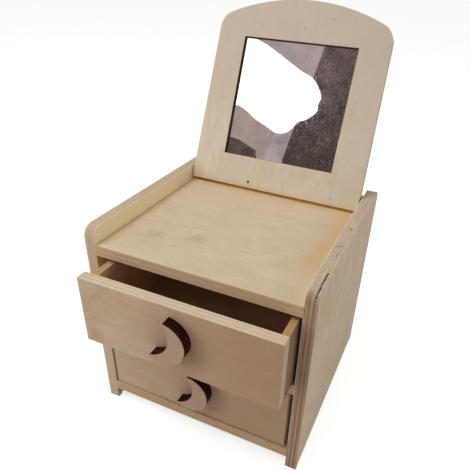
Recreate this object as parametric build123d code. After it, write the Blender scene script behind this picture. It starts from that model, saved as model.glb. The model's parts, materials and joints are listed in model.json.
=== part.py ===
"""Plywood vanity box: two drawers with crescent pulls and a folding mirror.

Units are millimetres. The origin is on the floor, midway between the side
panels and, from front to rear, at the middle of the space the open box takes
up. +X is to the right seen from the front, +Y is towards the rear and +Z is up.
"""
from build123d import *
from math import cos, radians, sin
import os

# Box
box_width = 170.0
box_depth = 165.0
side_height = 164.6
board = 8.6                 # plywood of the box, the drawer fronts and the pulls
corner_radius = 8.5         # upper corners of the side panels
rail_height = 12.2          # side panels above the top shelf
under_height = 10.9         # floor to the underside of the bottom panel
foot_relief = 2.0           # lower edge of a side panel, cut up between its feet
front_foot = 4.0
rear_foot = 12.0
relief_radius = 1.5
back_board = 4.0            # thin plywood of the back panel

# Drawers
drawer_side_gap = 2.05      # each side of a drawer when it is centred
drawer_top_gap = 3.1
drawer_floor_gap = 0.2
front_recess = 1.5          # closed front behind the box's front edges
closed_gap = 0.3            # closed drawer to the back panel
upper_pull_out = 25.3       # upper drawer stands open by this much
lower_shift = -1.2          # lower drawer lies against the left of its bay
drawer_wall = 5.2
wall_inset = 6.2            # left wall in from the left end of the front
drawer_base = 3.0
base_inset = 3.0            # drawer base let into the walls round it
base_lift = 3.0             # drawer base above the walls' lower edges
groove_gap = 0.1

# Crescent pulls
pull_radius = 16.7
bite_radius = 18.4
bite_shift = 14.4           # centre of the bite from the centre of the pull
tip_radius = 0.4
upper_pull_offset = -4.2    # from the middle of the drawer front
upper_pull_height = 30.4    # above the lower edge of the drawer front
upper_bite_angle = 159.0    # direction of the bite, from +X towards +Z
lower_pull_offset = -2.0
lower_pull_height = 27.4
lower_bite_angle = 162.0

# Mirror
lean = 22.5                 # degrees from upright
frame_side_gap = 1.0        # frame to each side panel, at the frame's lower edge
frame_taper = 4.0           # each side of the frame draws in by this much up to the crown
frame_height = 153.8
arch_radius = 161.0
shoulder_radius = 13.5
face_board = 2.6            # front layer of the mirror frame
rear_board = 6.0            # rear layer, which holds the glass
opening = 96.2              # square opening in the front layer
opening_sill = 26.0         # lower edge of the frame to the opening
glass_lap = 1.8             # glass behind the front layer, all round
glass = 2.0
glass_gap = 0.1
front_round = 1.4           # lower edge of the frame
rear_round = 0.4
stand_gap = 0.3             # frame's lower rear edge to the shelf, which stops the mirror

# Pivot pins and brads
pin_radius = 1.5
pin_bore_gap = 0.1          # radial clearance in the side panels
pin_seat_gap = 0.02
pin_in_frame = 14.0
pin_in_side = 5.0
pin_end_gap = 0.5
pivot_from_edge = 4.5       # lower edge of the frame to the pivot
pivot_to_back = 23.2        # pivot to the front face of the back panel
brad_radius = 0.65
brad_length = 6.0
brad_seat_gap = 0.02
brad_mid_sill = (-21.4, 4.9)                     # x, and height above the lower edge
brad_side_sill = (22.5, 5.2)                     # in from the right side, and height
brad_in_arch = [(1.9, 0.34), (23.5, 0.6)]       # x, and share of the way up to the crown

# Derived levels and faces
frame_thick = face_board + rear_board
front_reach = upper_pull_out + board - front_recess
rear_reach = (
    box_depth
    - back_board
    - pivot_to_back
    + frame_thick / 2 * cos(radians(lean))
    + (frame_height - pivot_from_edge) * sin(radians(lean))
)
front_y = (front_reach - rear_reach) / 2
rear_y = front_y + box_depth
inner_half = box_width / 2 - board
back_face_y = rear_y - back_board
bottom_top = under_height + board
shelf_top = side_height - rail_height
shelf_under = shelf_top - board
bay_height = (shelf_under - bottom_top - board) / 2
middle_under = bottom_top + bay_height
middle_top = middle_under + board

drawer_width = 2 * (inner_half - drawer_side_gap)
drawer_height = bay_height - drawer_top_gap - drawer_floor_gap
drawer_length = box_depth - back_board - front_recess - closed_gap

frame_width = 2 * (inner_half - frame_side_gap)
opening_top = opening_sill + opening
brad_places = [
    brad_mid_sill,
    (frame_width / 2 - brad_side_sill[0], brad_side_sill[1]),
]
brad_places += [
    (x, opening_top + share * (frame_height - opening_top)) for x, share in brad_in_arch
]
pivot_above_shelf = (
    (frame_thick / 2 - rear_round) * sin(radians(lean))
    + (pivot_from_edge - rear_round) * cos(radians(lean))
    + rear_round
    + stand_gap
)
pivot_y = back_face_y - pivot_to_back
pivot_z = shelf_top + pivot_above_shelf
frame_place = (
    Pos(0, pivot_y, pivot_z)
    * Rot(-lean, 0, 0)
    * Pos(0, -frame_thick / 2, -pivot_from_edge)
)


def block(x0, x1, y0, y1, z0, z1):
    """Rectangular board between three pairs of faces."""
    corner = Align.MIN
    return Pos(x0, y0, z0) * Box(x1 - x0, y1 - y0, z1 - z0, align=(corner, corner, corner))


def rod(radius, length, x, y, z):
    """Round bar along +X, from its left end."""
    bar = Cylinder(radius, length, align=(Align.CENTER, Align.CENTER, Align.MIN))
    return Pos(x, y, z) * Rot(0, 90, 0) * bar


def side_panel(left_x, inner_x, inwards):
    """Upright side with rounded upper corners, two low feet and a pivot hole."""
    panel = block(left_x, left_x + board, front_y, rear_y, 0, side_height)
    upper = panel.edges().filter_by(Axis.X).group_by(Axis.Z)[-1]
    panel = fillet(upper, corner_radius)
    relief = block(
        left_x,
        left_x + board,
        front_y + front_foot,
        rear_y - rear_foot,
        -foot_relief,
        foot_relief,
    )
    top_of_relief = relief.edges().filter_by(Axis.X).group_by(Axis.Z)[-1]
    panel -= fillet(top_of_relief, relief_radius)
    depth = pin_in_side + pin_end_gap
    hole_x = min(inner_x, inner_x - inwards * depth)
    return panel - rod(pin_radius + pin_bore_gap, depth, hole_x, pivot_y, pivot_z)


def shelf(underside):
    """Board between the side panels, from the front edge to the back panel."""
    return block(-inner_half, inner_half, front_y, back_face_y, underside, underside + board)


def back_panel():
    """Thin back between the sides, as high as their rounded corners leave straight."""
    top = side_height - corner_radius
    return block(-inner_half, inner_half, back_face_y, rear_y, under_height, top)


def frame_outline():
    """Arched and slightly tapered outline of the frame, its lower edge on the X axis."""
    half = frame_width / 2
    top = half - frame_taper
    corners = [(-half, 0), (half, 0), (top, frame_height), (-top, frame_height)]
    strip = make_face(Polyline(*corners, close=True))
    outline = strip & Pos(0, frame_height - arch_radius) * Circle(arch_radius)
    shoulders = outline.vertices().filter_by(lambda v: v.Y > frame_height / 2)
    return fillet(shoulders, shoulder_radius)


def upright(sketch, front, thick):
    """Plate of a sketch drawn in X and Z, from y = front to front + thick."""
    return Pos(0, front, 0) * extrude(Plane.XZ * sketch, amount=-thick)


def glass_square(size):
    """Square centred on the mirror opening."""
    middle = opening_sill + opening / 2
    return Pos(0, middle) * Rectangle(size, size)


def frame_pin(end, grow):
    """Pivot pin in the frame's own axes; end is -1 on the left, 1 on the right."""
    length = pin_in_frame + inner_half - frame_width / 2 + pin_in_side
    inner_end = frame_width / 2 - pin_in_frame
    start = inner_end if end > 0 else -inner_end - length
    return rod(pin_radius + grow, length, start, frame_thick / 2, pivot_from_edge)


def brad(x, z, grow):
    """Round brad driven in from the front face of the frame."""
    return Pos(x, 0, z) * Rot(-90, 0, 0) * Cylinder(
        brad_radius + grow,
        brad_length,
        align=(Align.CENTER, Align.CENTER, Align.MIN),
    )


def frame_cuts():
    """Seats of the pins and brads in both layers of the frame."""
    cuts = [frame_pin(end, pin_seat_gap) for end in (-1, 1)]
    cuts += [brad(x, z, brad_seat_gap) for x, z in brad_places]
    return cuts


def mirror_face_board():
    """Front layer with the square opening."""
    board_shape = upright(frame_outline() - glass_square(opening), 0, face_board)
    lower = board_shape.edges().filter_by(Axis.X).filter_by(
        lambda e: abs(e.center().Z) < 0.01 and abs(e.center().Y) < 0.01
    )
    board_shape = fillet(lower, front_round)
    for cut in frame_cuts():
        board_shape -= cut
    return board_shape


def mirror_rear_board():
    """Rear layer with the pocket that holds the glass."""
    board_shape = upright(frame_outline(), face_board, rear_board)
    lower = board_shape.edges().filter_by(Axis.X).filter_by(
        lambda e: abs(e.center().Z) < 0.01 and abs(e.center().Y - frame_thick) < 0.01
    )
    board_shape = fillet(lower, rear_round)
    pocket = opening + 2 * (glass_lap + glass_gap)
    board_shape -= upright(glass_square(pocket), face_board, glass + glass_gap)
    for cut in frame_cuts():
        board_shape -= cut
    return board_shape


def crescent(bite_angle):
    """Flat crescent, its round outline centred on the origin."""
    turn = radians(bite_angle)
    bite = Pos(bite_shift * cos(turn), bite_shift * sin(turn)) * Circle(bite_radius)
    moon = Circle(pull_radius) - bite
    return fillet(moon.vertices(), tip_radius)


def drawer(name, middle_x, face_y, lower_z, pull_offset, pull_height, bite_angle):
    """The six pieces of a drawer whose front face is at face_y."""
    left = middle_x - drawer_width / 2
    box_left = left + wall_inset
    right = middle_x + drawer_width / 2
    upper_z = lower_z + drawer_height
    wall_y = face_y + board
    end_y = face_y + drawer_length
    reach = drawer_wall - base_inset
    base_box = (
        box_left + reach,
        right - reach,
        wall_y - base_inset,
        end_y - reach,
        lower_z + base_lift,
        lower_z + base_lift + drawer_base,
    )
    grown = [edge + (groove_gap if i % 2 else -groove_gap) for i, edge in enumerate(base_box)]
    groove = block(*grown)
    walls = {
        "front": block(left, right, face_y, wall_y, lower_z, upper_z),
        "side_left": block(box_left, box_left + drawer_wall, wall_y, end_y, lower_z, upper_z),
        "side_right": block(right - drawer_wall, right, wall_y, end_y, lower_z, upper_z),
        "back": block(
            box_left + drawer_wall,
            right - drawer_wall,
            end_y - drawer_wall,
            end_y,
            lower_z,
            upper_z,
        ),
    }
    pieces = {f"{name}_{key}": wall - groove for key, wall in walls.items()}
    pieces[f"{name}_bottom"] = block(*base_box)
    pull = upright(crescent(bite_angle), -board, board)
    pieces[f"{name}_pull"] = Pos(middle_x + pull_offset, face_y, lower_z + pull_height) * pull
    return pieces


nodes = {
    "side_panel_left": side_panel(-box_width / 2, -inner_half, 1),
    "side_panel_right": side_panel(inner_half, inner_half, -1),
    "top_shelf": shelf(shelf_under),
    "middle_shelf": shelf(middle_under),
    "bottom_panel": shelf(under_height),
    "back_panel": back_panel(),
    "mirror_face_board": frame_place * mirror_face_board(),
    "mirror_rear_board": frame_place * mirror_rear_board(),
    "mirror_glass": frame_place * upright(
        glass_square(opening + 2 * glass_lap), face_board, glass
    ),
    "mirror_brads": frame_place * Compound([brad(x, z, 0) for x, z in brad_places]),
    "mirror_pin_left": frame_place * frame_pin(-1, 0),
    "mirror_pin_right": frame_place * frame_pin(1, 0),
}
closed_face_y = front_y + front_recess
nodes.update(
    drawer(
        "upper_drawer",
        0,
        closed_face_y - upper_pull_out,
        middle_top + drawer_floor_gap,
        upper_pull_offset,
        upper_pull_height,
        upper_bite_angle,
    )
)
nodes.update(
    drawer(
        "lower_drawer",
        lower_shift,
        closed_face_y,
        bottom_top + drawer_floor_gap,
        lower_pull_offset,
        lower_pull_height,
        lower_bite_angle,
    )
)

os.makedirs("parts", exist_ok=True)
for node_name, shape in nodes.items():
    export_step(shape, f"parts/{node_name}.step")

print(f"front {front_y:.3f}, rear {rear_y:.3f}")
print(f"pivot at y {pivot_y:.3f}, z {pivot_z:.3f}")
print(f"drawer {drawer_width:.2f} x {drawer_length:.2f} x {drawer_height:.2f}")
print(f"shelf top {shelf_top:.2f}, middle {middle_under:.2f} to {middle_top:.2f}")
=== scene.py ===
import json
from math import acos, atan2, cos, degrees, hypot, pi, radians, sin, sqrt

import bmesh
import bpy
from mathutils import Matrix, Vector


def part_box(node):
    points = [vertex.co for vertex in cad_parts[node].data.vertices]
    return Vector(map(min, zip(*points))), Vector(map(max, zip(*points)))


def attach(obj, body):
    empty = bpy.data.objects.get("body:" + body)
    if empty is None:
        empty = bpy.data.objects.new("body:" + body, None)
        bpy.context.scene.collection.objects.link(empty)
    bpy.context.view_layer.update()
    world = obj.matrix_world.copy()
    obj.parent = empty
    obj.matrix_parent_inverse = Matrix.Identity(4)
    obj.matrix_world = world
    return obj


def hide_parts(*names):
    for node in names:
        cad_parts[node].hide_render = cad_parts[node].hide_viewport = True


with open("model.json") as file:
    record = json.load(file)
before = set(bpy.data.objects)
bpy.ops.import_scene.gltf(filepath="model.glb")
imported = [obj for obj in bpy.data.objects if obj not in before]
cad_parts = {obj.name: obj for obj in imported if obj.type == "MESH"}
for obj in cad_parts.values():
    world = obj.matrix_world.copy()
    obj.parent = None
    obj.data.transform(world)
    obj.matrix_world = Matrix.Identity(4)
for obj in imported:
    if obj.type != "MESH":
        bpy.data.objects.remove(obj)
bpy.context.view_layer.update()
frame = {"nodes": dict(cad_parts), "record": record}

X, Y, Z = 0, 1, 2

# ---------------------------------------------------------------------------
# The box's own measures, in metres
# ---------------------------------------------------------------------------

BOARD = 0.0086
FRONT, REAR = (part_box("side_panel_right")[end][Y] for end in (0, 1))
SHELF_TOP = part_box("top_shelf")[1][Z]
SIDE_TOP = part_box("side_panel_right")[1][Z]
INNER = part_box("top_shelf")[1][X]
LEAN = radians(22.5)
PIVOT = Vector((0, 0.054546, 0.15838))
FACE_LAYER = 0.0026
FRAME_THICK = 0.0086
SILL, OPENING = 0.026, 0.0962
PIVOT_FROM_EDGE = 0.0045
FRAME_HALF = 0.0754
GLASS_LAP, GLASS = 0.0019, 0.0021
FRONT_ROUND, REAR_ROUND = 0.0014, 0.0004
FRAME_TAPER = 0.004
FRAME_HEIGHT = 0.1538
ARCH = 0.161
SHOULDER = 0.0135
CORNER = 0.0085
FRONT_FOOT, REAR_FOOT = 0.004, 0.012
FOOT_RELIEF, RELIEF_ROUND = 0.002, 0.0015
PIN_HOLE, PIN_SEAT, BRAD_SEAT = 0.0016, 0.00152, 0.00067
PIN_HOLE_DEPTH = 0.0055
PIN_FROM, PIN_TO = 0.0613, 0.08             # ends of a pin seat's cutter, from the middle
BRAD_DEPTH = 0.006
OVERSHOOT = 0.001                           # of a cutter past the face that it opens
PULL, BITE, BITE_SHIFT = 0.0167, 0.0184, 0.0144
BRADS = [(-0.0214, 0.0049), (0.0529, 0.0052), (0.0019, 0.13294), (0.0235, 0.14116)]

# How far the edges are rounded, from cut to handled
JUST_CUT, CRISP, BROKEN, SANDED = 0.00018, 0.0002, 0.0003, 0.0005
RIGHT_SIDE_SANDED, LEFT_SIDE_SANDED, RUBBED = 0.0007, 0.0009, 0.0017
SHARP_TURN = radians(32)                    # an edge that turns more than this is rounded
TOUCH = 1e-5                                # points nearer than this lie on the same face


# ---------------------------------------------------------------------------
# Shader maths
# ---------------------------------------------------------------------------

class Sock:
    """One node output, which takes part in ordinary arithmetic."""

    def __init__(self, finish, out):
        self.finish, self.out = finish, out

    def _two(self, how, a, b):
        return self.finish.node("ShaderNodeMath", {"operation": how}, {0: a, 1: b})

    def __add__(self, other):
        return self._two("ADD", self, other)

    def __radd__(self, other):
        return self._two("ADD", other, self)

    def __sub__(self, other):
        return self._two("SUBTRACT", self, other)

    def __rsub__(self, other):
        return self._two("SUBTRACT", other, self)

    def __mul__(self, other):
        return self._two("MULTIPLY", self, other)

    def __rmul__(self, other):
        return self._two("MULTIPLY", other, self)

    def __truediv__(self, other):
        return self._two("DIVIDE", self, other)

    def __rtruediv__(self, other):
        return self._two("DIVIDE", other, self)

    def __pow__(self, other):
        return self._two("POWER", self, other)

    def __rpow__(self, other):
        return self._two("POWER", other, self)

    def __neg__(self):
        return self._two("MULTIPLY", self, -1)

    def __abs__(self):
        return self.finish.node("ShaderNodeMath", {"operation": "ABSOLUTE"}, {0: self})

    def least(self, other):
        return self._two("MINIMUM", self, other)

    def most(self, other):
        return self._two("MAXIMUM", self, other)

    def wave(self):
        return self.finish.node("ShaderNodeMath", {"operation": "SINE"}, {0: self})

    def rise(self, low, high, start=0.0, end=1.0):
        """Smooth ramp from start at low to end at high."""
        return self.finish.node(
            "ShaderNodeMapRange",
            {"interpolation_type": "SMOOTHSTEP", "clamp": True},
            {"Value": self, "From Min": low, "From Max": high, "To Min": start, "To Max": end},
        )

    def within(self, low, high, soft):
        """1 between low and high, fading to 0 over soft outside them."""
        return self.rise(low - soft, low) * self.rise(high, high + soft, 1.0, 0.0)


def linear(red, green, blue):
    """Scene colour of a screen colour given from 0 to 255."""
    parts = []
    for value in (red, green, blue):
        value /= 255
        parts.append(value / 12.92 if value <= 0.04045 else ((value + 0.055) / 1.055) ** 2.4)
    return (*parts, 1.0)


class Finish:
    """The nodes of a material or of the world."""

    def __init__(self, owner):
        owner.use_nodes = True
        self.owner, self.tree = owner, owner.node_tree
        self.tree.nodes.clear()

    def node(self, kind, settings=None, values=None, output=0):
        """Adds a node; gives the named output, all of them for None, or nothing."""
        made = self.tree.nodes.new(kind)
        for key, value in (settings or {}).items():
            setattr(made, key, value)
        for key, value in (values or {}).items():
            if isinstance(value, Sock):
                self.tree.links.new(value.out, made.inputs[key])
            else:
                made.inputs[key].default_value = value
        if output is None:
            return [Sock(self, out) for out in made.outputs]
        return Sock(self, made.outputs[output]) if len(made.outputs) else None

    def place(self):
        """Where the surface is in the piece's own coordinates, in metres."""
        return self.node("ShaderNodeTexCoord", output="Object")

    def turned(self, vector, move=(0, 0, 0), turn=(0, 0, 0), size=(1, 1, 1), way="POINT"):
        """The vector moved, turned and stretched by a Mapping node."""
        return self.node(
            "ShaderNodeMapping",
            {"vector_type": way},
            {"Vector": vector, "Location": move, "Rotation": turn, "Scale": size},
        )

    def parts(self, vector):
        """The vector's x, y and z."""
        return self.node("ShaderNodeSeparateXYZ", values={"Vector": vector}, output=None)

    def noise(self, vector, size, detail=3.0, rough=0.5, swirl=0.0, move=(0, 0, 0)):
        """Cloudy values about 0.5; size is how often they change along each axis."""
        return self.node(
            "ShaderNodeTexNoise",
            {},
            {
                "Vector": self.turned(vector, move, size=size),
                "Scale": 1.0,
                "Detail": detail,
                "Roughness": rough,
                "Distortion": swirl,
            },
        )

    def blend(self, factor, first, second):
        """The first colour, going over to the second as the factor goes to 1."""
        return self.node(
            "ShaderNodeMix",
            {"data_type": "RGBA"},
            {0: factor, 6: first, 7: second},
            output=2,
        )

    def relief(self, height, depth, strength):
        """Normal of a surface that rises and falls with the height."""
        return self.node(
            "ShaderNodeBump", {}, {"Height": height, "Distance": depth, "Strength": strength}
        )

    def seen_by(self, first, *others):
        """1 where the surface is met by one of these kinds of ray."""
        seen = self.node("ShaderNodeLightPath", output=f"Is {first} Ray")
        for ray in others:
            seen = seen.most(self.node("ShaderNodeLightPath", output=f"Is {ray} Ray"))
        return seen

    def surface(self, shader, where="Material"):
        """Puts the shader on what these nodes belong to, which it gives back."""
        self.node("ShaderNodeOutput" + where, {}, {"Surface": shader})
        return self.owner

    def shade(self, values):
        """A Principled surface with these values."""
        return self.surface(self.node("ShaderNodeBsdfPrincipled", {}, values))


def new_finish(name):
    """The nodes of a new material."""
    return Finish(bpy.data.materials.new(name))


# ---------------------------------------------------------------------------
# Finishes
# ---------------------------------------------------------------------------

EDGE_PINK = linear(205, 177, 150)
STREAK = linear(176, 148, 114)
GLUE = linear(122, 92, 64)
CHAR = linear(30, 12, 7)
SCORCH = linear(92, 46, 28)
ORANGE_BOUNCE = linear(220, 184, 138)
PALE_RIM = linear(226, 216, 200)
RAIL_LIGHT = linear(238, 223, 182)
WHITE_WOOD = linear(218, 202, 184)
GREY_WOOD = linear(180, 162, 146)
FRONT_EDGE_SHADE = linear(158, 124, 96)
CRACK = linear(58, 30, 14)
FRONT_EDGE_PALE = linear(176, 150, 130)
GOLD = linear(206, 164, 104)
HONEY_GAP_LIGHT = linear(226, 190, 134)
PALE_GAP_LIGHT = linear(250, 222, 168)
BURNT_BROWN = linear(70, 44, 26)
GREY_FRAME = linear(199, 184, 168)
DEEP_FRONT = linear(176, 139, 106)
PULL_FACE = linear(186, 154, 130)
PULL_SHADE = linear(124, 84, 54)
GREY_SMEAR = linear(138, 118, 86)
BROWN_STRIP = linear(170, 124, 74)
END_TAN = linear(182, 164, 134)
PALE_PLY = linear(198, 168, 142)
DARK_PLY = linear(128, 96, 70)
WALL_BROWN = linear(166, 126, 78)
WALL_OUTER_SHADE = linear(122, 97, 74)
PASTE = linear(168, 140, 108)
SILVER = linear(226, 224, 226)
DUST = linear(196, 186, 176)

VENEER_RELIEF = 0.00006

# Each part is cut from its own sheet: light and deep wood, blush, light and dark edge
SHEETS = {
    "shelf": [(212, 195, 168), (206, 188, 156), (211, 191, 166), (217, 191, 155), (176, 146, 108)],
    "sides": [(207, 188, 164), (197, 175, 146), (200, 178, 157), (212, 193, 167), (174, 146, 118)],
    "left": [(213, 196, 173), (203, 182, 153), (205, 184, 164), (219, 201, 176), (186, 159, 131)],
    "base": [(203, 184, 160), (193, 171, 142), (196, 174, 153), (214, 181, 143), (176, 138, 100)],
    "fronts": [(214, 191, 166), (202, 172, 140), (204, 174, 149), (218, 204, 182), (176, 152, 126)],
    "frame": [(223, 209, 190), (215, 198, 175), (215, 200, 182), (218, 200, 174), (176, 150, 121)],
    "insides": [(224, 182, 140), (206, 160, 114), (212, 170, 132), (192, 158, 114), (156, 122, 80)],
}
for tones in SHEETS.values():
    tones[:] = [linear(*tone) for tone in tones]

LEANING = {"move": PIVOT, "turn": (-LEAN, 0, 0), "way": "TEXTURE"}    # the frame's own axes


def plywood(name, thick, low, high, grain, seed, sheet="sides", plies=5, leaning=False, extra=None):
    """Bare plywood: veneer on the two faces, layers between them.

    thick is the axis through the board, low and high are its two faces and
    grain is the axis that the face veneer runs along.
    """
    kit = new_finish(name)
    here = kit.place()
    if leaning:
        here = kit.turned(here, **LEANING)
    spot = kit.parts(here)
    through = (spot[thick] - low) / (high - low)

    def along(fast, slow):
        """Values that change fast across the grain and slowly along it."""
        size = [fast, fast, fast]
        size[grain] = slow
        return size

    def layered(wide, thin):
        """Values that change one way in the sheet's plane and another through it."""
        size = [wide, wide, wide]
        size[thick] = thin
        return size

    # Face veneer
    shift = (seed * 3.7, seed * 1.9, seed * 5.3)
    fine = kit.noise(here, along(1700, 190), detail=2, rough=0.6, move=shift)
    strand = kit.noise(here, along(420, 46), detail=4, rough=0.65, swirl=0.4, move=shift)
    figure = kit.noise(here, along(100, 28), detail=4, rough=0.6, swirl=1.1, move=shift)
    cloud = kit.noise(here, along(44, 27), detail=5, rough=0.62, swirl=0.9, move=shift)
    broad = kit.noise(here, along(11, 7), detail=2, rough=0.5, move=(seed, seed, seed))
    pore = kit.noise(here, along(2600, 220), detail=1, move=shift)
    light, deep, blush, edge_light, edge_dark = SHEETS[sheet]
    face = kit.blend(cloud.rise(0.35, 0.68), light, deep)
    face = kit.blend(broad.rise(0.42, 0.62, 0.0, 0.75), face, blush)
    face = kit.blend(figure.rise(0.5, 0.68, 0.0, 0.15), face, STREAK)
    face = kit.blend(strand.rise(0.48, 0.72, 0.0, 0.14), face, STREAK)
    face = kit.blend(fine.rise(0.4, 0.75, 0.0, 0.16), face, STREAK)
    face = kit.blend(pore.rise(0.68, 0.76, 0.0, 0.3), face, SCORCH)

    # Layers of the edge
    wobble = kit.noise(here, (60, 60, 60), detail=2, move=shift)
    depth = through + (wobble - 0.5) * 0.05
    layer = depth * plies
    ridge = (layer * pi).wave()
    inner_ply = kit.node("ShaderNodeMath", {"operation": "PINGPONG"}, {0: layer, 1: 1.0})
    odd = kit.node("ShaderNodeMath", {"operation": "MODULO"}, {0: layer, 1: 2.0})
    crossed = odd.within(1.0, 1.97, 0.04)
    seam = inner_ply.rise(0.0, 0.1, 1.0, 0.0) * through.within(0.12, 0.88, 0.02)
    speck = kit.noise(here, layered(900, 1400), detail=3, rough=0.7, move=shift)
    line = kit.noise(here, layered(30, 1600), detail=3, rough=0.6, move=shift)
    blotch = kit.noise(here, (24, 24, 24), detail=2, move=shift)
    edge = kit.blend(line.rise(0.35, 0.75, 0.0, 0.35), edge_light, STREAK)
    end_grain = kit.blend(speck.rise(0.3, 0.7), edge_dark, edge_light)
    edge = kit.blend(crossed * 0.85, edge, end_grain)
    edge = kit.blend(seam * line.rise(0.3, 0.6) * 0.6, edge, GLUE)
    if sheet != "insides":
        edge = kit.blend(blotch.rise(0.4, 0.66, 0.0, 0.55), edge, EDGE_PINK)
    gap = kit.noise(here, (70, 70, 70), detail=2, rough=0.4, move=(seed * 2.1, 0.3, seed))
    void = gap.rise(0.75, 0.77) * crossed
    edge = kit.blend(void * 0.85, edge, CHAR)

    rim = through.within(0.045, 0.955, 0.035)
    colour = kit.blend(rim, face, edge)
    lift = kit.noise(here, along(700, 45), detail=3, rough=0.6, move=shift)
    height = lift * 0.6 + strand * 0.4 - pore.rise(0.66, 0.76) * 0.7
    height = height * (1 - rim) + (speck * 0.5 + ridge * 0.15 - void * 2.0) * rim
    rough = 0.58 + cloud * 0.12 + rim * 0.12
    if extra:
        colour, height = extra(kit, here, spot, through, rim, colour, height)
    return kit.shade({
        "Base Color": colour,
        "Roughness": rough,
        "Normal": kit.relief(height, VENEER_RELIEF, 0.55),
        "Specular IOR Level": 0.12,
    })


def scorched(kit, here, face, mask, dark=CHAR):
    """Laser-burnt edge over a wood colour, where the mask is 1."""
    streak = kit.noise(here, (70, 1500, 70), detail=3, rough=0.65)
    smoke = kit.noise(here, (180, 180, 180), detail=2)
    paler = streak.rise(0.52, 0.68) * smoke.rise(0.4, 0.6, 0.35, 1.0)
    return kit.blend(mask, face, kit.blend(paler, dark, SCORCH))


# ---------------------------------------------------------------------------
# Modelling
# ---------------------------------------------------------------------------

def only(piece):
    """Nothing else is selected or active."""
    bpy.ops.object.select_all(action="DESELECT")
    piece.select_set(True)
    bpy.context.view_layer.objects.active = piece


def apply_all(piece):
    """Applies the piece's modifiers, first to last."""
    only(piece)
    for modifier in list(piece.modifiers):
        bpy.ops.object.modifier_apply(modifier=modifier.name)


def merged(points, near=1e-6):
    """Outline points without the repeats where one run meets the next."""
    kept = [points[0]]
    for point in points[1:]:
        if (point - kept[-1]).length > near:
            kept.append(point)
    if (kept[0] - kept[-1]).length <= near:
        kept.pop()
    return kept


def arc(centre, radius, start, end, steps):
    """Points on a circle, angles in degrees."""
    turns = [radians(start + (end - start) * i / steps) for i in range(steps + 1)]
    return [Vector((centre[0] + radius * cos(t), centre[1] + radius * sin(t))) for t in turns]


def flat_face(name, points):
    """One flat face with its corners at these points."""
    bpy.ops.object.select_all(action="DESELECT")
    bpy.ops.mesh.primitive_circle_add(vertices=len(points), fill_type="NGON")
    piece = bpy.context.object
    piece.name = piece.data.name = name
    for vertex, point in zip(piece.data.vertices, points):
        vertex.co = point
    piece.data.update()
    return piece


def plate(name, outline, across, low, high):
    """Flat plate with an outline in its own plane, from low to high across it.

    The outline's two coordinates are Y and Z when across is X, and X and Z
    when across is Y.
    """
    corners = [[point[0], point[1]] for point in merged(outline)]
    for corner in corners:
        corner.insert(across, low)
    piece = flat_face(name, corners)
    step = [0.0, 0.0, 0.0]
    step[across] = high - low
    bpy.ops.object.mode_set(mode="EDIT")
    bpy.ops.mesh.select_all(action="SELECT")
    bpy.ops.mesh.extrude_region_move(TRANSFORM_OT_translate={"value": step})
    bpy.ops.mesh.select_all(action="SELECT")
    bpy.ops.mesh.normals_make_consistent(inside=False)
    bpy.ops.object.mode_set(mode="OBJECT")
    return piece


def soften(piece, width, spare=None, segments=3, pick=None):
    """Rounds a piece's sharp edges: those that pick names, and none that spare names."""
    only(piece)
    bpy.ops.object.mode_set(mode="EDIT")
    bpy.ops.mesh.select_all(action="DESELECT")
    mesh = bmesh.from_edit_mesh(piece.data)
    for edge in mesh.edges:
        middle = (edge.verts[0].co + edge.verts[1].co) / 2
        chosen = edge.is_manifold and edge.calc_face_angle(0) > SHARP_TURN
        if pick:
            chosen = chosen and pick(middle)
        edge.select = bool(chosen and not (spare and spare(middle)))
    mesh.select_flush_mode()
    bmesh.update_edit_mesh(piece.data)
    bpy.ops.mesh.bevel(
        offset=width,
        offset_type="OFFSET",
        segments=segments,
        profile=0.5,
        affect="EDGES",
        clamp_overlap=False,
        miter_outer="SHARP",
    )
    bpy.ops.object.mode_set(mode="OBJECT")


def cutter_box(low, high):
    """Square cutter from one corner to the other."""
    bpy.ops.object.select_all(action="DESELECT")
    middle = [(a + b) / 2 for a, b in zip(low, high)]
    bpy.ops.mesh.primitive_cube_add(size=1, location=middle)
    made = bpy.context.object
    made.scale = [b - a for a, b in zip(low, high)]
    bpy.ops.object.transform_apply(location=True, rotation=True, scale=True)
    return made


def cutter_rod(radius, start, end, vertices=32):
    """Round cutter from one point to another."""
    start, end = Vector(start), Vector(end)
    bpy.ops.object.select_all(action="DESELECT")
    bpy.ops.mesh.primitive_cylinder_add(
        vertices=vertices, radius=radius, depth=(end - start).length, location=(start + end) / 2
    )
    made = bpy.context.object
    made.rotation_euler = (end - start).to_track_quat("Z", "Y").to_euler()
    bpy.ops.object.transform_apply(location=True, rotation=True, scale=True)
    return made


def cut(piece, cutters):
    """Takes each cutter out of the piece and deletes it."""
    for cutter in cutters:
        taken = piece.modifiers.new("cut", "BOOLEAN")
        taken.operation, taken.solver, taken.object = "DIFFERENCE", "EXACT", cutter
        apply_all(piece)
        only(cutter)
        bpy.ops.object.delete()
    only(piece)


def finish_shape(piece, node):
    """Even shading, and the piece stands for its node."""
    only(piece)
    bpy.ops.object.shade_smooth_by_angle(angle=radians(40))
    weighted = piece.modifiers.new("even", "WEIGHTED_NORMAL")
    weighted.keep_sharp = True
    weighted.weight = 100
    apply_all(piece)
    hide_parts(node)
    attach(piece, body_of[node])
    return piece


def eased(node, width, spare=None, worn=None):
    """A straight board with its sharp edges softened, except those that spare names.

    worn names an edge that is rounded further first.
    """
    source = frame["nodes"][node]
    piece = bpy.data.objects.new(node + "_eased", source.data.copy())
    bpy.context.scene.collection.objects.link(piece)
    only(piece)
    bpy.ops.object.mode_set(mode="EDIT")
    bpy.ops.mesh.select_all(action="SELECT")
    bpy.ops.mesh.remove_doubles(threshold=2e-6)
    bpy.ops.mesh.dissolve_limited(angle_limit=radians(0.5))
    bpy.ops.object.mode_set(mode="OBJECT")
    if worn:
        soften(piece, RUBBED, pick=worn, segments=4)
    soften(piece, width, spare)
    return finish_shape(piece, node)


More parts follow.
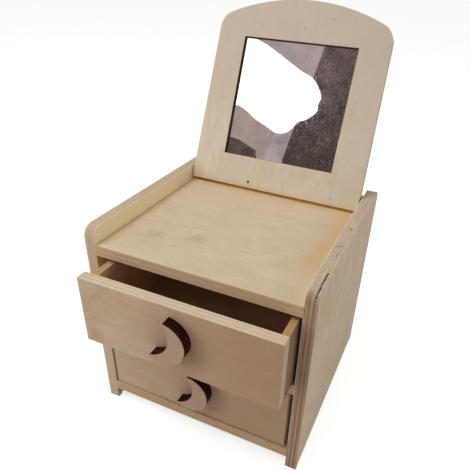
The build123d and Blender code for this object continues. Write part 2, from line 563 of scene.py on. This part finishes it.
body_of = {
    node: body
    for body, members in frame["record"]["behaviour"]["bodies"].items()
    for node in members
}


def paint(piece, material):
    """Gives the whole piece one material."""
    piece.data.materials.clear()
    piece.data.materials.append(material)


def board(node, thick, grain, seed, width, spare=None, worn=None, **more):
    """A softened board in plywood, measured from its node."""
    low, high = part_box(node)
    piece = eased(node, width, spare, worn)
    paint(piece, plywood(node, thick, low[thick], high[thick], grain, seed, **more))


# ---------------------------------------------------------------------------
# Cabinet
# ---------------------------------------------------------------------------

# Marks of the right rail, in from its inner side and back from its front
PLY_PAIR = 0.00285
SPLIT_IN = 0.0066
LEDGE_RUN = 0.0555
SMUDGES = ((-0.047, -0.052), (-0.019, -0.044))     # x and y on the shelf


def bay_painted_light(kit, spot, colour):
    """Painted light: orange bounce light on the inner faces inside the bays, and a lighter,
    yellower rail face above the shelf.
    """
    x, _, z = spot
    inner = abs(x).rise(INNER + 0.0002, INNER + 0.0006, 1.0, 0.0)
    in_bay = z.rise(SHELF_TOP - 0.006, SHELF_TOP - 0.002, 0.85, 0.0)
    on_rail = z.rise(SHELF_TOP - 0.001, SHELF_TOP, 0.0, 0.85)
    # Painted light: orange bounce light below the shelf, a lighter yellow rail face above it
    colour = kit.blend(inner * in_bay, colour, ORANGE_BOUNCE)
    return kit.blend(inner * on_rail, colour, RAIL_LIGHT)


def left_rail_marks(kit, here, spot, through, rim, colour, height):
    """Outer veneer sanded nearly white along the rail."""
    x, _, z = spot
    colour = bay_painted_light(kit, spot, colour)
    top = z.rise(SIDE_TOP - 0.009, SIDE_TOP - 0.004)
    colour = kit.blend(top * rim * 0.5, colour, FRONT_EDGE_PALE)
    worn = (-x).rise(INNER + BOARD - 0.0026, INNER + BOARD - 0.0004) * z.rise(0.1, 0.155)
    return kit.blend(worn * 0.3, colour, WHITE_WOOD), height


def banded_front(kit, here, spot, rim, colour):
    """The right panel's front edge: painted shade darkening it, pale and dark plies, and a light
    line on its inner side.
    """
    x, y, z = spot
    inward, run = x - INNER, y - FRONT
    edge = run.rise(0.0, 0.0035, 1.0, 0.0) * rim
    # Painted shade over the front edge
    colour = kit.blend(edge * 0.62, colour, FRONT_EDGE_SHADE)
    bend = kit.noise(here, (140, 140, 140), detail=2)
    fade = kit.noise(here, (120, 120, 40), detail=2)
    strength = edge * fade.rise(0.3, 0.6, 0.15, 0.6)
    band = ((inward - 0.001 + (bend - 0.5) * 0.0008) * (2 * pi / PLY_PAIR)).wave()
    colour = kit.blend(band.rise(-0.2, 0.9) * strength, colour, PALE_PLY)
    colour = kit.blend(band.rise(0.2, -0.9) * strength, colour, DARK_PLY)
    line = inward.rise(0.0004, 0.0008, 1.0, 0.0) * run.rise(0.0012, 0.002, 1.0, 0.0)
    line = line * z.within(0.03, SHELF_TOP - 0.01, 0.004)
    return kit.blend(line * fade.rise(0.35, 0.6, 0.45, 0.85), colour, PALE_RIM)


def right_rail_marks(kit, here, spot, through, rim, colour, height):
    """Split, small voids, a torn ledge and a brown strip on the right side panel."""
    x, y, z = spot
    inward, run = x - INNER, y - FRONT
    colour = bay_painted_light(kit, spot, colour)
    top = z.rise(SIDE_TOP - 0.009, SIDE_TOP - 0.006)
    grey = kit.noise(here, (260, 60, 260), detail=4, rough=0.7)
    colour = kit.blend(rim * top * grey.rise(0.4, 0.6, 0.35, 0.85), colour, GREY_WOOD)
    colour = banded_front(kit, here, spot, rim, colour)

    def near(place, sharp, soft):
        """1 on a line that runs along the rail, this far in from its inner side."""
        return abs(inward - place).rise(sharp, soft, 1.0, 0.0)

    # Split in the round of the front corner
    bend = kit.noise(here, (140, 140, 140), detail=2)
    ragged = kit.noise(here, (700, 700, 700), detail=2)
    split = near(SPLIT_IN + (bend - 0.5) * 0.0022 + run * 0.014, 0.0002, 0.0007)
    split = split * run.within(0.0012, 0.0225, 0.0006) * ragged.rise(0.3, 0.42)
    rear_void = near(0.0052, 0.0002, 0.0006) * run.within(0.083, 0.0855, 0.001)
    front_void = near(0.0056, 0.0001, 0.0005) * run.within(0.044, 0.047, 0.0015)
    voids = (rear_void * 0.7).most(front_void * 0.55) * top
    ledge_run = LEDGE_RUN + (bend - 0.5) * 0.006 + inward * 0.5
    ledge = abs(run - ledge_run).rise(0.0002, 0.0011, 1.0, 0.0)
    ledge = ledge * inward.within(0.001, 0.0062, 0.0008)
    flecks = kit.noise(here, (600, 220, 600), detail=3, rough=0.7)
    fleck = flecks.rise(0.58, 0.68) * run.within(0.004, 0.05, 0.006) * top * rim
    open_marks = split.most(voids).most(ledge * top * 0.35).most(fleck * 0.4)
    colour = kit.blend(open_marks, colour, CRACK)
    # A brown strip by the inner face, above the shelf's front corner
    brown = (inward + (ragged - 0.5) * 0.001).within(0.0012, 0.0036, 0.0005)
    brown = brown * (z + (ragged - 0.5) * 0.003).within(0.1545, 0.1632, 0.0008)
    colour = kit.blend(brown * run.rise(0.003, 0.0055, 1.0, 0.0) * 0.5, colour, BROWN_STRIP)
    return colour, height - open_marks * 4.0


def side_outline():
    """Side with two low feet and rounded upper corners, in Y and Z."""
    front_end, rear_start = FRONT + FRONT_FOOT, REAR - REAR_FOOT
    relief = FOOT_RELIEF - RELIEF_ROUND
    top = SIDE_TOP - CORNER
    return (
        [Vector((FRONT, 0)), Vector((front_end, 0))]
        + arc((front_end + RELIEF_ROUND, relief), RELIEF_ROUND, 180, 90, 6)
        + arc((rear_start - RELIEF_ROUND, relief), RELIEF_ROUND, 90, 0, 6)
        + [Vector((rear_start, 0)), Vector((REAR, 0))]
        + arc((REAR - CORNER, top), CORNER, 0, 90, 14)
        + arc((FRONT + CORNER, top), CORNER, 90, 180, 14)
    )


for node, far, seed, width, marks, sheet in (
    ("side_panel_left", -1, 1, LEFT_SIDE_SANDED, left_rail_marks, "left"),
    ("side_panel_right", 1, 2, RIGHT_SIDE_SANDED, right_rail_marks, "sides"),
):
    low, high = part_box(node)
    piece = plate(node + "_cut_out", side_outline(), X, low[X], high[X])
    soften(piece, width)
    hole = [(far * x, PIVOT.y, PIVOT.z) for x in (INNER - OVERSHOOT, INNER + PIN_HOLE_DEPTH)]
    cut(piece, [cutter_rod(PIN_HOLE, *hole)])
    finish_shape(piece, node)
    paint(piece, plywood(node, X, low[X], high[X], Z, seed, sheet=sheet, extra=marks))


def shelf_tint(kit, here, spot, through, rim, colour, height):
    """Painted shade as warmer gold along the rails and in front of the mirror's foot, painted light
    in the gap under the foot, two faint smudges, and edges warmer towards the right.
    """
    x, y, _ = spot
    drift = kit.noise(here, (30, 30, 30), detail=3)
    # Painted shade: warmer gold by the right rail, along the left rail and in front of the mirror's
    # foot
    side = (x + (drift - 0.5) * 0.02).rise(0.05, 0.075) * y.rise(FRONT + 0.01, FRONT + 0.05)
    left = (x + (drift - 0.5) * 0.004).rise(-INNER + 0.0005, -INNER + 0.004, 1.0, 0.0)
    back = (y + (drift - 0.5) * 0.004).rise(0.0425, 0.0475)
    painted_warm_shade = (side * 0.48).most(left * 0.5).most(back * 0.3)
    colour = kit.blend(painted_warm_shade * (1 - rim), colour, GOLD)
    # Painted light: honey, then pale, in the gap under the mirror's foot
    colour = kit.blend(y.rise(0.0468, 0.049) * (1 - rim) * 0.6, colour, HONEY_GAP_LIGHT)
    colour = kit.blend(y.rise(0.0488, 0.0496) * (1 - rim), colour, PALE_GAP_LIGHT)
    smear = kit.noise(here, (170, 110, 170), detail=4, rough=0.6, swirl=1.0)
    for smudge_x, smudge_y in SMUDGES:
        over, along = x - smudge_x, y - smudge_y
        far = (over * over + along * along * 1.6) ** 0.5
        smudge = far.rise(0.001, 0.012, 1.0, 0.0) * smear.rise(0.36, 0.66)
        colour = kit.blend(smudge * 0.38 * (1 - rim), colour, GREY_SMEAR)
    right_end = x.rise(-0.02, 0.04) * rim
    colour = kit.blend(right_end * 0.25, colour, GOLD)
    return colour, height


board("top_shelf", Z, X, 3, BROKEN, sheet="shelf", extra=shelf_tint)
board("middle_shelf", Z, X, 4, BROKEN, sheet="base")
board("bottom_panel", Z, X, 5, BROKEN, sheet="base")
board("back_panel", Y, X, 6, BROKEN, plies=3)


# ---------------------------------------------------------------------------
# Drawers
# ---------------------------------------------------------------------------

NEAR_GROOVE = 0.0004        # an edge this near to the bottom's box belongs to its groove


def pull_edges(kit, here, spot, through, rim, colour, height):
    """Burnt edges of a cut-out pull."""
    ragged = kit.noise(here, (500, 500, 500), detail=2)
    burn = (through + (ragged - 0.5) * 0.05).rise(0.03, 0.075)
    colour = kit.blend(0.7, colour, PULL_FACE)
    return scorched(kit, here, colour, burn), height


PULL_MIDDLES = {}
for drawer in ("upper_drawer", "lower_drawer"):
    low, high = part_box(drawer + "_pull")
    PULL_MIDDLES[drawer] = (high[X] - PULL, low[Z] + PULL)
LEFT_END, RIGHT_END = (corner[X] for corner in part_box("upper_drawer_front"))


def front_tone(kit, here, spot, through, rim, colour, height):
    """Darker wood to the right, part grain tone and part painted shade, painted shadows to the
    right of and below the pulls, and worn ends.
    """
    x, _, z = spot
    drift = kit.noise(here, (18, 18, 30), detail=3)
    # Darker to the right: part the wood's own tone, part painted shade
    deeper = (x + (drift - 0.5) * 0.04).rise(-0.055, 0.055) * (1 - rim)
    colour = kit.blend(deeper * z.rise(0.08, 0.1, 0.5, 0.68), colour, DEEP_FRONT)
    spots = kit.noise(here, (90, 90, 240), detail=3, rough=0.6, move=(3, 1, 2))
    colour = kit.blend(spots.rise(0.62, 0.74) * (1 - rim) * 0.3, colour, GOLD)
    for pull_x, pull_z in PULL_MIDDLES.values():
        # Painted shadow of the pull, to its right and below it
        right, down = x - pull_x - 0.007, z - pull_z + 0.005
        far = (right * right + down * down) ** 0.5
        blotch = (far + (drift - 0.5) * 0.006).rise(PULL * 0.9, PULL + 0.012, 1.0, 0.0)
        colour = kit.blend(blotch * (1 - rim) * 0.14, colour, PULL_SHADE)
    rough = kit.noise(here, (500, 500, 500), detail=3, rough=0.7)
    end = (x + (rough - 0.5) * 0.0012).rise(LEFT_END + 0.0003, LEFT_END + 0.0012, 1.0, 0.0)
    colour = kit.blend(end * 0.7, colour, WHITE_WOOD)
    right_end = x.rise(RIGHT_END - 0.0008, RIGHT_END - 0.0003)
    colour = kit.blend(right_end * 0.6, colour, END_TAN)
    return colour, height - end * rough * 2.0


def wall_painted_shade(kit, here, spot, through, rim, colour, height):
    """Browner in patches, with painted shade on its outer face."""
    rub = kit.noise(here, (60, 24, 60), detail=4, rough=0.6)
    colour = kit.blend(rub.rise(0.35, 0.65, 0.35, 0.6), colour, WALL_BROWN)
    # Painted shade on the outer face
    return kit.blend(through.rise(0.9, 0.97) * 0.85, colour, WALL_OUTER_SHADE), height


def half_angle(radius, other, apart):
    """Half the angle that a circle's part inside another circle spans, in degrees."""
    return degrees(acos((radius**2 + apart**2 - other**2) / (2 * radius * apart)))


def crescent(middle, bite_angle, blunt=1.3):
    """Outline of a crescent: a circle with a round bite out of it.

    Its horns are cut short by blunt, in degrees of each circle.
    """
    turn = radians(bite_angle)
    bite_middle = (middle[0] + BITE_SHIFT * cos(turn), middle[1] + BITE_SHIFT * sin(turn))
    open_half = half_angle(PULL, BITE, BITE_SHIFT) + blunt
    bite_half = half_angle(BITE, PULL, BITE_SHIFT) - blunt
    back = bite_angle + 180
    outer = arc(middle, PULL, bite_angle + open_half, bite_angle + 360 - open_half, 110)
    return outer + arc(bite_middle, BITE, back + bite_half, back - bite_half, 60)


def build_drawer(drawer, seed, bite_angle):
    """Front, walls, back and bottom of one drawer, and its crescent pull."""

    def groove(point):
        """Edges of the groove for the drawer's bottom, which stay sharp."""
        low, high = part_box(drawer + "_bottom")
        return all(low[i] - NEAR_GROOVE < point[i] < high[i] + NEAR_GROOVE for i in range(3))

    def upper_left(point):
        """The front's upper left corner, rubbed round."""
        low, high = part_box(drawer + "_front")
        return abs(point.x - low[X]) < TOUCH and abs(point.z - high[Z]) < TOUCH

    board(drawer + "_front", Y, X, seed, SANDED, groove, upper_left, sheet="fronts",
          extra=front_tone)
    board(drawer + "_side_left", X, Y, seed + 1, BROKEN, groove, sheet="insides", plies=3)
    board(drawer + "_side_right", X, Y, seed + 2, BROKEN, groove, sheet="insides", plies=3,
          extra=wall_painted_shade)
    board(drawer + "_back", Y, X, seed + 3, BROKEN, groove, sheet="insides", plies=3)
    board(drawer + "_bottom", Z, X, seed + 4, CRISP, sheet="insides", plies=3)

    node = drawer + "_pull"
    low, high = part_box(node)
    outline = crescent(PULL_MIDDLES[drawer], bite_angle)
    pull = plate(drawer + "_crescent", outline, Y, low[Y], high[Y])
    soften(pull, JUST_CUT, segments=2)
    finish_shape(pull, node)
    paint(pull, plywood(node, Y, low[Y], high[Y], X, seed + 5, sheet="fronts", extra=pull_edges))


build_drawer("upper_drawer", 10, bite_angle=159)
build_drawer("lower_drawer", 17, bite_angle=162)


# ---------------------------------------------------------------------------
# Mirror
# ---------------------------------------------------------------------------

HALF = FRAME_THICK / 2
LAYER = -HALF + FACE_LAYER                        # between the frame's two layers
WINDOW_MIDDLE = SILL + OPENING / 2 - PIVOT_FROM_EDGE


def frame_outline():
    """Arched outline of the frame, from its lower edge up, in its own X and Z."""
    # Each side leans in by the taper, and the shoulder touches side and arch
    rise, inward = FRAME_HEIGHT, FRAME_TAPER
    slope = hypot(rise, inward)
    out_x, out_z = rise / slope, inward / slope
    # Shoulder centre: SHOULDER inside the side line, ARCH - SHOULDER from the arch's centre
    arch_z = FRAME_HEIGHT - ARCH
    reach = FRAME_HALF * out_x - SHOULDER
    along = reach - arch_z * out_z
    deep = sqrt((ARCH - SHOULDER) ** 2 - along**2)
    centre = (out_x * along - out_z * deep, arch_z + out_z * along + out_x * deep)
    side_turn = degrees(atan2(out_z, out_x))
    arch_turn = degrees(atan2(centre[1] - arch_z, centre[0]))
    right = [Vector((FRAME_HALF, 0))] + arc(centre, SHOULDER, side_turn, arch_turn, 14)
    crown = arc((0, arch_z), ARCH, arch_turn, 180 - arch_turn, 64)
    left = [Vector((-point.x, point.y)) for point in reversed(right)]
    return right + crown + left


def frame_layer(node, outer, lower_round, cutters, seed, **more):
    """One layer of the frame, modelled upright about its pivot and then leant back.

    outer is its outer face, and its other face is where the layers meet.
    """
    outline = [Vector((p.x, p.y - PIVOT_FROM_EDGE)) for p in frame_outline()]
    front, rear = min(outer, LAYER), max(outer, LAYER)
    piece = plate(node + "_arched", outline, Y, front, rear)
    foot = -PIVOT_FROM_EDGE

    def lower_outer(middle):
        return abs(middle.z - foot) < TOUCH and abs(middle.y - outer) < TOUCH

    def inner_face(middle):
        return abs(middle.y - LAYER) < TOUCH

    soften(piece, lower_round, pick=lower_outer, segments=6)
    soften(piece, SANDED, spare=inner_face)
    cut(piece, cutters)
    piece.rotation_euler = (-LEAN, 0, 0)
    piece.location = PIVOT
    only(piece)
    bpy.ops.object.transform_apply(location=True, rotation=True, scale=True)
    finish_shape(piece, node)
    paint(piece, plywood(node, Y, front, rear, Z, seed, "frame", 3, leaning=True, **more))


def frame_seats():
    """Cutters for the pins' and brads' seats, in the frame's own axes."""
    made = [
        cutter_rod(PIN_SEAT, (end * PIN_FROM, 0, 0), (end * PIN_TO, 0, 0)) for end in (-1, 1)
    ]
    for x, z in BRADS:
        z -= PIVOT_FROM_EDGE
        start, stop = (x, -HALF - OVERSHOOT, z), (x, -HALF + BRAD_DEPTH, z)
        made.append(cutter_rod(BRAD_SEAT, start, stop, 16))
    return made


def square_cutter(half, front, rear):
    """Cutter for the opening or the glass's pocket, this far to each side."""
    low, high = WINDOW_MIDDLE - half, WINDOW_MIDDLE + half
    return cutter_box((-half, front, low), (half, rear, high))


def burnt_opening(kit, here, spot, through, rim, colour, height):
    """Scorched walls of the opening, a hairline of burn round it, and painted shade and painted
    light along the lower edge by the shelf.
    """
    x, _, z = spot
    reach = abs(x).most(abs(z - WINDOW_MIDDLE)) - OPENING / 2
    ragged = kit.noise(here, (400, 400, 400), detail=2)
    burn = (reach + (ragged - 0.5) * 0.0002).rise(0.00005, 0.00035, 1.0, 0.0)
    colour = kit.blend(z.rise(0.03, 0.13, 0.0, 0.6), colour, GREY_FRAME)
    colour = kit.blend(x.rise(0.03, 0.065, 0.0, 0.35), colour, GREY_FRAME)
    above_edge = z + PIVOT_FROM_EDGE
    # Painted shade: warmer gold over the lowest 5 mm; painted light: pale along the very lower
    # edge, by the gap
    colour = kit.blend(above_edge.rise(0.0, 0.005, 0.35, 0.0), colour, GOLD)
    colour = kit.blend(above_edge.rise(0.0001, 0.0009), PALE_GAP_LIGHT, colour)
    # Only the first brad shows, dark round its head
    beside, over = x - BRADS[0][0], above_edge - BRADS[0][1]
    far = (beside * beside + over * over) ** 0.5
    colour = kit.blend(far.rise(0.0009, 0.0016, 0.85, 0.0), colour, CRACK)
    return scorched(kit, here, colour, burn, BURNT_BROWN), height


opening_cut = square_cutter(OPENING / 2, -HALF - OVERSHOOT, LAYER + OVERSHOOT)
frame_layer("mirror_face_board", -HALF, FRONT_ROUND, [opening_cut] + frame_seats(), 31,
            extra=burnt_opening)
pocket_cut = square_cutter(OPENING / 2 + GLASS_LAP, LAYER - OVERSHOOT, LAYER + GLASS)
frame_layer("mirror_rear_board", HALF, REAR_ROUND, [pocket_cut] + frame_seats(), 33)


TOUCHED = (0.012, 0.231)                          # x and z of the wiped spot on the glass


def mirror_finish():
    """Silvered glass with dust, wiped smears and fine specks."""
    kit = new_finish("mirror_glass")
    here = kit.place()
    x, _, z = kit.parts(here)
    haze = kit.noise(here, (70, 70, 70), detail=6, rough=0.7, swirl=0.6)
    speck = kit.noise(here, (1400, 1400, 1400), detail=2, rough=0.7)
    lint = kit.noise(here, (460, 460, 460), detail=4, rough=0.78)
    beside, over = x - TOUCHED[0], z - TOUCHED[1]
    handled = (beside * beside + over * over) ** 0.5
    dust = haze.rise(0.42, 0.72, 0.0, 0.05) + speck.rise(0.56, 0.73, 0.0, 0.24)
    dust = dust + lint.rise(0.5, 0.72, 0.0, 0.2)
    dust = dust + handled.rise(0.012, 0.036, 0.07, 0.0) * lint.rise(0.4, 0.65)
    dust = dust.least(0.5)
    return kit.shade({
        "Base Color": kit.blend(dust, SILVER, DUST),
        "Metallic": 1 - dust,
        "Roughness": 0.012 + dust * 0.13,
        "Specular IOR Level": 0.5,
    })


def steel_finish(name, dark, light, shine, pale_from=None):
    """Dull wire; from pale_from to the right it is filled over with wood paste."""
    kit = new_finish(name)
    here = kit.place()
    wear = kit.noise(here, (900, 900, 900), detail=3, rough=0.6)
    colour = kit.blend(wear.rise(0.4, 0.7), linear(*dark), linear(*light))
    if pale_from is not None:
        x = kit.parts(here)[X]
        colour = kit.blend(x.rise(pale_from, pale_from + 0.002), colour, PASTE)
    return kit.shade({
        "Base Color": colour,
        "Metallic": shine,
        "Roughness": 0.5 + wear * 0.3,
        "Specular IOR Level": 0.15,
    })


def dress(node, material):
    """Puts the material on a CAD node that stays as it is."""
    slots = frame["nodes"][node].material_slots
    for place in slots:
        place.material = material
    if not slots:
        frame["nodes"][node].data.materials.append(material)


dress("mirror_glass", mirror_finish())
dress("mirror_brads", steel_finish("brad", (74, 44, 22), (96, 66, 40), 0.05, -0.01))
pins = steel_finish("pivot_pin", (104, 100, 94), (140, 134, 126), 0.8)
dress("mirror_pin_left", pins)
dress("mirror_pin_right", pins)


# ---------------------------------------------------------------------------
# Floor, reflected room, lamps and camera
# ---------------------------------------------------------------------------

FLOOR_SIZE = 12
PAPER_GREY = (0.62, 0.61, 0.59, 1)
PAPER_GLOW = 0.72                                 # lifts what the camera sees to white
WHITE = (1, 1, 1, 1)
STUDIO_AIR, STUDIO_LIGHT = (1.0, 0.99, 0.975, 1), 0.38


def floor_finish():
    """Pale floor that the camera sees as white, and that keeps a shadow."""
    kit = new_finish("floor")
    paper = kit.node("ShaderNodeBsdfDiffuse", {}, {"Color": PAPER_GREY})
    glow = kit.node("ShaderNodeEmission", {}, {"Color": WHITE, "Strength": PAPER_GLOW})
    bright = kit.node("ShaderNodeAddShader", {}, {0: paper, 1: glow})
    seen = kit.seen_by("Camera", "Glossy", "Transmission")
    return kit.surface(kit.node("ShaderNodeMixShader", {}, {0: seen, 1: paper, 2: bright}))


def studio():
    """Soft light from all round, in front of a white background."""
    world = bpy.data.worlds.new("studio")
    kit = Finish(world)
    soft = kit.node("ShaderNodeBackground", {}, {"Color": STUDIO_AIR, "Strength": STUDIO_LIGHT})
    white = kit.node("ShaderNodeBackground", {}, {"Color": WHITE, "Strength": 1.0})
    seen = kit.seen_by("Camera", "Transmission")
    kit.surface(kit.node("ShaderNodeMixShader", {}, {0: seen, 1: soft, 2: white}), "World")
    return world


bpy.ops.object.select_all(action="DESELECT")
bpy.ops.mesh.primitive_plane_add(size=FLOOR_SIZE, location=(0, 0, 0))
floor = bpy.context.object
floor.name = "floor"
paint(floor, floor_finish())
bpy.context.scene.world = studio()

# The room that the mirror shows: a plane of its own, and shapes on it in metres right and up
CARD_CENTRE = Vector((-0.3427, -0.8238, 0.7475))
CARD_RIGHT = Vector((-0.9341, 0.3570, 0.0))
CARD_UP = Vector((0.1698, 0.4442, 0.8797))
TO_MIRROR = CARD_RIGHT.cross(CARD_UP)

ROOM_DARK = [(-0.9, -0.9), (0.9, -0.9), (0.9, 0.9), (-0.9, 0.9)]
ROOM_WALL = [
    (-0.041, 0.5), (-0.037, 0.192), (-0.035, 0.092), (-0.029, -0.089),
    (-0.028, -0.195), (-0.025, -0.5), (0.6, -0.5), (0.6, 0.5),
]
CURTAIN = [(0.031, -0.06), (-0.018, -0.05), (-0.031, -0.187), (-0.035, -0.5), (0.01, -0.5)]
ROOM_FLOOR = [
    (0.6, -0.152), (0.168, -0.152), (0.116, -0.151), (0.058, -0.166),
    (0.046, -0.194), (0.03, -0.5), (0.6, -0.5),
]
WINDOW = [
    (0.6, 0.1), (0.206, 0.126), (0.141, 0.134), (0.005, 0.090), (-0.032, 0.085),
    (-0.057, 0.067), (-0.077, 0.041), (-0.073, 0.018), (-0.080, 0.0),
    (-0.054, -0.034), (-0.035, -0.043), (-0.021, -0.076), (-0.004, -0.091),
    (0.020, -0.097), (0.049, -0.087), (0.088, -0.078), (0.122, -0.062),
    (0.154, -0.055), (0.191, -0.067), (0.6, -0.055),
]


def rounded(outline, times):
    """The outline with its corners cut away, again and again."""
    for _ in range(times):
        following = outline[1:] + outline[:1]
        outline = [
            (a[0] + (b[0] - a[0]) * part, a[1] + (b[1] - a[1]) * part)
            for a, b in zip(outline, following)
            for part in (0.22, 0.78)
        ]
    return outline


def card(name, outline, nearer, colour, lower=None, strength=1.0, mottle=0.5):
    """Flat lit shape in the room that only the mirror shows.

    nearer is how far it lies from the plane towards the mirror. Its colour goes
    over to lower further down, and mottle is how far it is patched with a
    darker shade.
    """
    kit = new_finish(name)
    here = kit.place()
    patch = kit.noise(here, (13, 13, 13), detail=7, rough=0.72)
    high = kit.parts(here)[Z].rise(CARD_CENTRE.z - 0.16, CARD_CENTRE.z + 0.14)
    shade = kit.blend(high, linear(*(lower or colour)), linear(*colour))
    dim = linear(*[part * 0.6 for part in colour])
    shade = kit.blend(patch.rise(0.4, 0.6, 0.0, mottle), shade, dim)
    glow = kit.node("ShaderNodeEmission", {}, {"Color": shade, "Strength": strength})
    start = CARD_CENTRE + TO_MIRROR * nearer
    piece = flat_face(name, [start + CARD_RIGHT * u + CARD_UP * v for u, v in outline])
    paint(piece, kit.surface(glow))
    for ray in ("camera", "diffuse", "shadow", "transmission", "volume_scatter"):
        setattr(piece, "visible_" + ray, False)


card("room_dark", ROOM_DARK, 0.0, (115, 96, 92), (81, 63, 56), mottle=0.85)
card("room_wall", ROOM_WALL, 0.01, (192, 176, 173), (190, 166, 158), mottle=0.3)
card("room_curtain", CURTAIN, 0.02, (196, 180, 180))
card("room_floor", ROOM_FLOOR, 0.02, (92, 76, 68))
card("window", rounded(WINDOW, 2), 0.03, (255, 255, 255), strength=2.2, mottle=0.0)


def lamp(name, place, size, power, colour):
    """Round soft lamp that points at the box and stays out of its reflections."""
    data = bpy.data.lights.new(name, "AREA")
    data.shape, data.size, data.energy, data.color = "DISK", size, power, colour
    made = bpy.data.objects.new(name, data)
    bpy.context.scene.collection.objects.link(made)
    made.location = place
    made.rotation_euler = (BOX_MIDDLE - made.location).to_track_quat("-Z", "Y").to_euler()
    made.visible_glossy = False


BOX_MIDDLE = Vector((0, 0, 0.1))
lamp("overhead", (-0.45, -0.3, 1.4), 1.0, 9.9, (1.0, 0.992, 0.97))
lamp("front_left", (-0.85, -0.75, 0.42), 0.6, 2.6, (1.0, 0.985, 0.96))
lamp("from_the_right", (1.3, 0.35, 0.75), 0.7, 5.1, (1.0, 0.988, 0.965))

lens = bpy.data.cameras.new("camera")
lens.sensor_fit, lens.sensor_width = "HORIZONTAL", 36
lens.lens = 36.6745
lens.shift_x, lens.shift_y = -0.0389, 0.04764
lens.clip_start, lens.clip_end = 0.01, 50
camera = bpy.data.objects.new("camera", lens)
bpy.context.scene.collection.objects.link(camera)
camera.location = (0.13345, -0.3016, 0.32633)
camera.rotation_euler = (radians(57.7236), radians(-2.2547), radians(24.0154))
bpy.context.scene.camera = camera
bpy.context.scene.view_settings.view_transform = "Standard"
